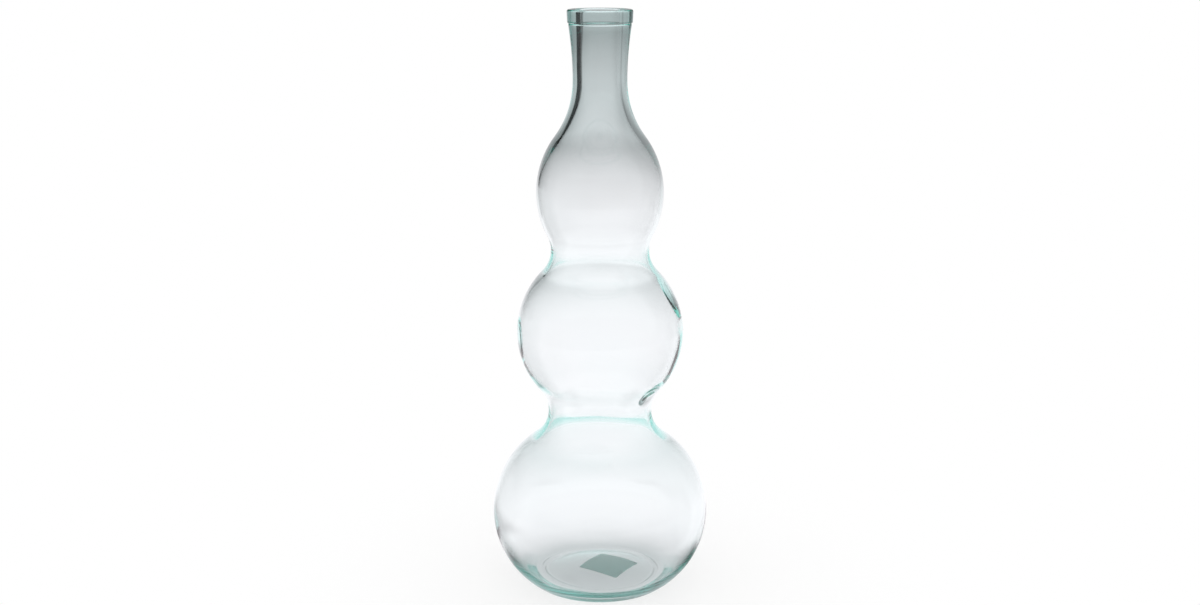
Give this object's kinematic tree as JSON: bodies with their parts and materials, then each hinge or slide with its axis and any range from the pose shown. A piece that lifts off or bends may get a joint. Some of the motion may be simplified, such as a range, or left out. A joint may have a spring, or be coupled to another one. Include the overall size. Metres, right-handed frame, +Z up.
{
  "type": "gourd vase",
  "caption": "Tall blown glass vase of stacked gourd bulbs that narrow upwards to a thick-walled neck with a heavy ringed lip, for stems or as a bottle.",
  "frame": {"origin": "middle of the flat ring that the vase stands on", "axes": "+Z up along the vessel's axis, +Y away from the viewer"},
  "size_m": [0.1879, 0.188, 0.5],
  "materials": {
    "glass": "clear recycled glass with a pale aqua tint, fire polished",
    "label_paper": "blank matt pale aqua-grey paper label"
  },
  "bodies": {
    "root": {"vessel": "glass", "lip_ring": "glass", "base_label": "label_paper"}
  },
  "joints": []
}
